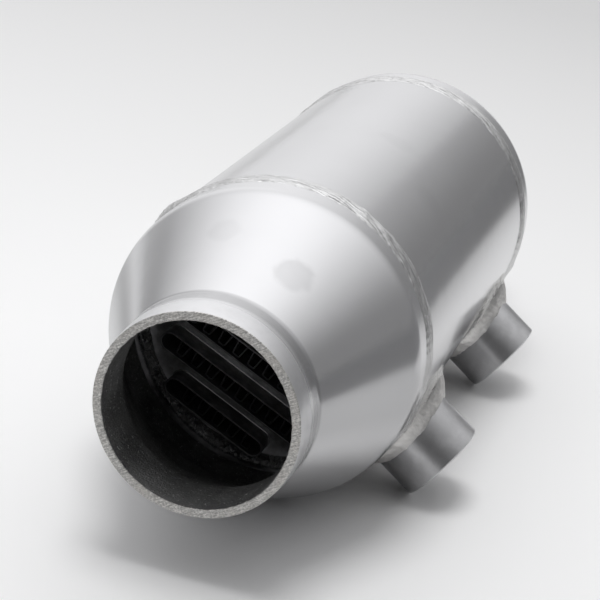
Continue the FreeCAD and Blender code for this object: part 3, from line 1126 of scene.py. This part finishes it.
class COOLER_OT_header_plates(bpy.types.Operator):
    """Cut the slotted header plates and braze the tubes into them"""

    bl_idname = "cooler.header_plates"
    bl_label = "Header plates"

    def execute(self, context):
        sizes = context.scene.cooler_sizes
        looks = context.scene.cooler_finishes
        plate = core_finish("header_dull", looks.core, 0.30)
        # painted highlight: the braze fillets are painted near white, for the bright line at each tube's foot
        braze = core_finish("braze_fillet_painted_highlight", [min(1.0, c * 2.4) for c in looks.core], 0.14)
        for seed, end in enumerate(ENDS, 3):
            build_header(sizes, end, plate)
            build_brazing(sizes, end, braze, seed)
        return {"FINISHED"}


def header_bead_rows(sizes, seed):
    """Rows of points across the uneven bead between a header plate and the shell."""
    steps = 1200
    across = 12
    inner_r = SHELL_R - sizes.wall
    around = FULL_TURN * inner_r
    ripples = Ripples(seed, around, 3.1 * MM, 1.3)
    rows = [[] for _ in range(across + 1)]
    for k, turn in enumerate(turns(steps)):
        leg = sizes.header_weld_leg * wavy(seed, turn, 0.88, (0.14, 9.0), (0.10, 40.0))
        back = leg * wavy(seed + 2, turn, 1.35, (0.25, 14.0), (0.12, 60.0))
        for j in range(across + 1):
            v = j / across
            lump = ripples.height(k / steps - 0.5 * leg * (2.0 * v - 1.0) ** 2 / around)
            uneven = noise.noise(Vector((turn * 60.0, 5.0 * v, seed)))
            bulge = math.sin(math.pi * v) * MM * (0.25 + 0.16 * (lump - 0.4) + 0.22 * uneven) * math.sqrt(0.5)
            y = header_low.y - (back + 0.1 * MM * lump) * (1.0 - v) - bulge
            r = inner_r - (leg + 0.1 * MM * lump) * v - bulge
            y += SINK if j == across else 0.0
            r += SINK if j == 0 else 0.0
            rows[j].append(around_barrel(r, y, turn))
    return rows


def build_header_bead(sizes, end, material, seed):
    rows = header_bead_rows(sizes, seed)
    rows.append(ring(SHELL_R - sizes.wall + SINK, header_low.y + SINK, len(rows[0])))
    loft_piece(end + "_header_bead", rows_at_end(rows, end), [material], [end + "_header_weld"], 60.0)


class COOLER_OT_header_welds(bpy.types.Operator):
    """Lay the beads that hold the header plates in the shell"""

    bl_idname = "cooler.header_welds"
    bl_label = "Header welds"

    def execute(self, context):
        looks = context.scene.cooler_finishes
        bead = bead_finish("header_bead_metal", looks.bead, 0.55)
        for seed, end in enumerate(ENDS, 71):
            build_header_bead(context.scene.cooler_sizes, end, bead, seed)
        return {"FINISHED"}


# Stage

FLOOR_REACH = 6.0
CARD_TONES = ((0.34, 0.34, 0.345), (0.33, 0.33, 0.335))
# How dull the floor is painted where the metal mirrors it, as painted shade in its reflections: the tone, and where it
# fades in along X and along Y
PAINTED_MIRROR_SHADE = (
    (0.88, None, (0.17, 0.28)),
    (0.64, (0.08, 0.19), (0.17, 0.28)),
    (0.30, (0.05, 0.15), (0.55, 0.75)),
)
# The dark card's line on the floor beside the object, and its height
CARD_LINE = ((0.55, -0.28), (0.335, 0.10), (0.285, 0.22), (0.23, 0.50), (0.22, 0.75), (0.25, 1.0), (0.45, 2.2))
CARD_HEIGHT = 0.10
# The room's light level, and its soft patches: azimuth and elevation in degrees, the cosines between which each one
# fades in, and the light that it adds
ROOM_LEVEL = 0.257
OVERHEAD = (-14.3, 70.9, 0.341, 1.20, 0.988)
SCREEN = (-18.9, -1.8, 0.765, 1.0, 0.505)
SCREEN_SIDE = (-82.7, 0.0, -0.022, 0.022, 0.88)  # the left side, beyond which little of the screen is left
WINDOW = (-78.9, 37.7, 0.053, 0.755, 0.173)
FRONT = (165.0, 2.0, 0.62, 0.97, -0.18)
SHADE = (16.0, 14.0, 0.93, 1.0, -0.018)
CORNER = (-53.0, 3.0, 0.96, 1.0, -0.10)
# The front half is dimmer for the floor than for the metal
DIM_FRONT = (165.0, 5.0, -0.3, 0.7, -0.22)
LEAST_MIRRORED = 0.10
LEAST_DIM = 0.02
SEEN_LEVEL = 0.86  # what the camera sees past the floor
BLUE_TINT = 0.99  # red and green as a share of blue
LAMP_PLACE = (-0.10, 0.05, 1.65)
LAMP_TARGET = (0.0, 0.15, 0.0)
LAMP_WIDTH = 0.75
LAMP_POWER = 9.7
CAMERA_PLACE = (0.13905, -0.47204, 0.22574)
CAMERA_RIGHT = Vector((0.94543, 0.28825, 0.15191))
CAMERA_UP = Vector((-0.24003, 0.30085, 0.92297))
CAMERA_FORWARD = Vector((-0.22034, 0.90907, -0.35362))
CAMERA_LENS = 114.742


def floor_finish(colour):
    """The pale floor, painted a little darker towards the back as painted shade, and painted duller where the metal
    mirrors it, as painted shade in its reflections.
    """
    finish = Finish("studio_floor")
    side, depth = finish.axes("XY")
    # painted shade: the floor that the camera sees is painted darker towards the back, where the light falls off
    pale = finish.shade(((depth - 0.15) / 0.8).clamped(), colour, 1.0, 0.78)
    pale = finish.blend(finish.grain(3.0) * 0.02, pale, paint(colour, 0.9))
    # painted shade for every ray but the camera's: the floor is painted darker to the right of the object, in front of
    # it and in the listed patches, for its reflections in the metal
    near = finish.shade(side.between(0.05, 0.11), colour, 0.78, 0.58)
    dull = finish.blend(depth.between(-0.02, 0.05), paint(colour, 0.72), near)
    for tone, along_x, along_y in PAINTED_MIRROR_SHADE:
        reach = depth.between(*along_y)
        if along_x:
            reach = side.between(*along_x) * reach
        dull = finish.blend(reach, dull, paint(colour, tone))
    # painted shade: the floor is painted darker to the left of the object towards the front, where the neck mirrors it
    left = (side * -1.0).between(0.10, 0.22) * (1.0 - depth.between(0.20, 0.45))
    dull = finish.blend(left, dull, paint(colour, 0.46))
    seen = finish.add("ShaderNodeLightPath", output="Is Camera Ray")
    return finish.close(finish.blend(seen, dull, pale), 0.7, metallic=0.0, specular=0.2)


def stage_piece(name, mesh, material):
    data = mesh_data(name, mesh, outward=False)
    data.materials.append(material)
    piece = linked(name, data)
    return piece


def build_floor(colour):
    mesh = bmesh.new()
    corners = ((-1, -1), (1, -1), (1, 1), (-1, 1))
    mesh.faces.new([mesh.verts.new((x * FLOOR_REACH, y * FLOOR_REACH, solids_box[0].z)) for x, y in corners])
    stage_piece("studio_floor", mesh, floor_finish(colour))


def build_dark_card():
    """A low dark card beside the object, out of view, that gives the metal its dark edge."""
    mesh = bmesh.new()
    low = solids_box[0].z
    skin(mesh, [[Vector((x, y, z)) for x, y in CARD_LINE] for z in (low, low + CARD_HEIGHT)], closed=False)
    finish = Finish("dark_card")
    depth, = finish.axes("Y")
    base = finish.blend(depth.between(0.2, 0.5), *[paint(tone) for tone in CARD_TONES])
    card = stage_piece("dark_card", mesh, finish.close(base, 0.9, metallic=0.0))
    card.visible_camera = False
    card.visible_diffuse = False
    card.visible_shadow = False


def build_lamp():
    """A soft round lamp overhead, which the metal doesn't mirror."""
    data = bpy.data.lights.new("top_box", "AREA")
    data.shape = "DISK"
    data.size = LAMP_WIDTH
    data.energy = LAMP_POWER
    lamp = linked("top_box", data)
    lamp.location = LAMP_PLACE
    lamp.rotation_mode = "QUATERNION"
    lamp.rotation_quaternion = (Vector(LAMP_TARGET) - Vector(LAMP_PLACE)).to_track_quat("-Z", "Y")
    lamp.visible_glossy = False


def compass(azimuth, elevation):
    """Direction at an azimuth from +Y towards +X and an elevation, both in degrees."""
    a = math.radians(azimuth)
    e = math.radians(elevation)
    return (math.sin(a) * math.cos(e), math.cos(a) * math.cos(e), math.sin(e))


class Room(Finish):
    """The world's node tree, with the same methods as a finish."""

    def __init__(self, tree):
        self.tree = tree
        self.place = self.add("ShaderNodeTexCoord", output="Generated")

    def glow(self, azimuth, elevation, low, high, light):
        """A soft patch of light round a direction, from 0 outside it to the given light at its middle."""
        toward = self.vector("DOT_PRODUCT", self.place, compass(azimuth, elevation), output=1)
        return toward.between(low, high) * light


def build_world():
    """Soft room light: white overhead, a pale screen low behind, a window on the left and a dim front."""
    world = bpy.data.worlds.new("studio_room")
    bpy.context.scene.world = world
    world.use_nodes = True
    world.node_tree.nodes.clear()
    room = Room(world.node_tree)
    screen_edge = room.glow(*SCREEN_SIDE) + (1.0 - SCREEN_SIDE[-1])
    level = ROOM_LEVEL + room.glow(*SCREEN) * screen_edge
    for patch in (OVERHEAD, WINDOW, FRONT, SHADE, CORNER):
        level = level + room.glow(*patch)
    level = level.math("MAXIMUM", LEAST_MIRRORED)
    dim = (level + room.glow(*DIM_FRONT)).math("MAXIMUM", LEAST_DIM)
    mirrored, seen = [room.add("ShaderNodeLightPath", output=ray) for ray in ("Is Glossy Ray", "Is Camera Ray")]
    level = dim + (level - dim) * mirrored
    level = level + (SEEN_LEVEL - level) * seen
    tone = room.point(level * BLUE_TINT, level * BLUE_TINT, level)
    light = room.add("ShaderNodeBackground", None, {"Color": tone, "Strength": 1.0})
    room.add("ShaderNodeOutputWorld", None, {"Surface": light})


def build_camera():
    data = bpy.data.cameras.new("studio_camera")
    data.lens = CAMERA_LENS
    data.sensor_width = 36.0
    data.clip_start = 0.01
    data.clip_end = 50.0
    camera = linked("studio_camera", data)
    turn = Matrix((CAMERA_RIGHT, CAMERA_UP, -CAMERA_FORWARD)).transposed()
    camera.matrix_world = Matrix.Translation(CAMERA_PLACE) @ turn.to_4x4()
    bpy.context.scene.camera = camera


class COOLER_OT_stage(bpy.types.Operator):
    """Set the pale floor, the soft lights and the camera"""

    bl_idname = "cooler.stage"
    bl_label = "Stage"

    def execute(self, context):
        context.scene.view_settings.view_transform = "Standard"
        build_floor(context.scene.cooler_finishes.floor)
        build_world()
        build_dark_card()
        build_lamp()
        build_camera()
        return {"FINISHED"}


# Add-on parts

CLASSES = (CoolerSizes, CoolerFinishes, COOLER_OT_end_tanks, COOLER_OT_barrel_shell, COOLER_OT_seam_welds,
           COOLER_OT_water_bungs, COOLER_OT_bung_welds, COOLER_OT_air_tubes, COOLER_OT_air_fins,
           COOLER_OT_header_plates, COOLER_OT_header_welds, COOLER_OT_stage)
STEPS = [item for item in CLASSES if issubclass(item, bpy.types.Operator)]


class COOLER_PT_sidebar(bpy.types.Panel):
    """The cooler's operators in the 3D view's sidebar"""

    bl_idname = "COOLER_PT_sidebar"
    bl_label = "Barrel charge cooler"
    bl_space_type = "VIEW_3D"
    bl_region_type = "UI"
    bl_category = "Cooler"

    def draw(self, context):
        for step in STEPS:
            self.layout.operator(step.bl_idname, text=step.bl_label)
        for group in (context.scene.cooler_sizes, context.scene.cooler_finishes):
            for name in group.__annotations__:
                self.layout.prop(group, name)


def register():
    for item in CLASSES + (COOLER_PT_sidebar,):
        bpy.utils.register_class(item)
    bpy.types.Scene.cooler_sizes = bpy.props.PointerProperty(type=CoolerSizes)
    bpy.types.Scene.cooler_finishes = bpy.props.PointerProperty(type=CoolerFinishes)


def unregister():
    del bpy.types.Scene.cooler_finishes
    del bpy.types.Scene.cooler_sizes
    for item in reversed(CLASSES + (COOLER_PT_sidebar,)):
        bpy.utils.unregister_class(item)


def main():
    register()
    for step in STEPS:
        group, name = step.bl_idname.split(".")
        getattr(getattr(bpy.ops, group), name)()


if __name__ == "__main__":
    main()
